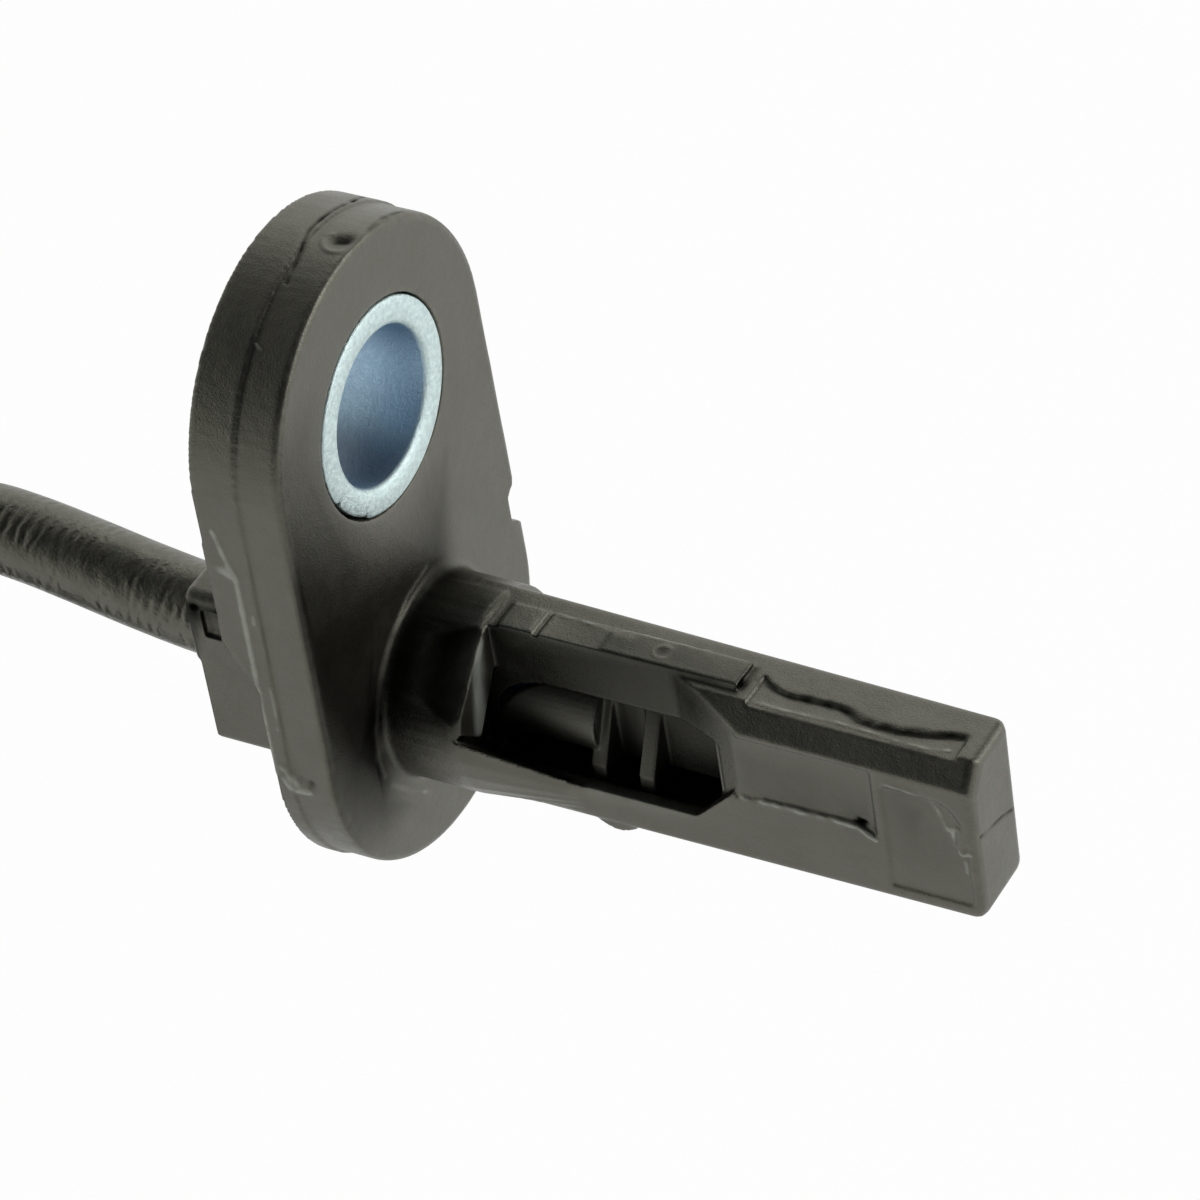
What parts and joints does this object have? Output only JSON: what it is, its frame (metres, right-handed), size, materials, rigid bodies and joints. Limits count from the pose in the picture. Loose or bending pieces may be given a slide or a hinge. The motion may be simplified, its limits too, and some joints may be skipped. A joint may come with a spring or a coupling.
{
  "type": "wheel speed sensor",
  "caption": "Wheel speed sensor with a flat nose, a round locating collar, a bolt ear with a steel bush, and a coiled lead that ends in a hooded connector.",
  "frame": {"origin": "on the flange's seating face, midway between the nose axis and the bolt axis", "axes": "+X out of the seating face along the nose, +Z from the nose axis to the bolt axis, +Y to the side with the edge notch"},
  "size_m": [0.1372, 0.0379, 0.1549],
  "materials": {
    "housing_plastic": "satin glass-filled nylon, warm dark grey, with fine flash along its moulding lines",
    "carrier_plastic": "satin moulded plastic",
    "zinc_steel": "pale bluish zinc plate, finely mottled",
    "chip_epoxy": "matt moulding compound",
    "tinned_copper": "tin plate",
    "bare_copper": "bare stranded copper",
    "core_dark": "smooth core insulation",
    "core_light": "smooth core insulation",
    "cable_jacket": "satin polyurethane jacket with a faint twist of the cores",
    "connector_plastic": "satin moulded plastic",
    "lock_plastic": "satin natural plastic",
    "seal_rubber": "silicone rubber"
  },
  "bodies": {
    "root": {"sensor_housing": "housing_plastic", "bolt_bush": "zinc_steel", "sensor_carrier": "carrier_plastic", "hall_chip": "chip_epoxy", "emc_capacitor": "chip_epoxy", "lead_strip_a": "tinned_copper", "lead_strip_b": "tinned_copper", "core_wire_a": "core_dark", "core_wire_b": "core_light", "wire_end_a": "bare_copper", "wire_end_b": "bare_copper", "cable_lead": "cable_jacket", "cable_coil": "cable_jacket", "cable_tail": "cable_jacket", "coil_tie": "connector_plastic", "connector_shell": "connector_plastic", "connector_cap": "connector_plastic", "connector_lock": "lock_plastic", "cable_seal": "seal_rubber", "terminal_a": "tinned_copper", "terminal_b": "tinned_copper", "connector_wire_a": "core_dark", "connector_wire_b": "core_light"}
  },
  "joints": []
}
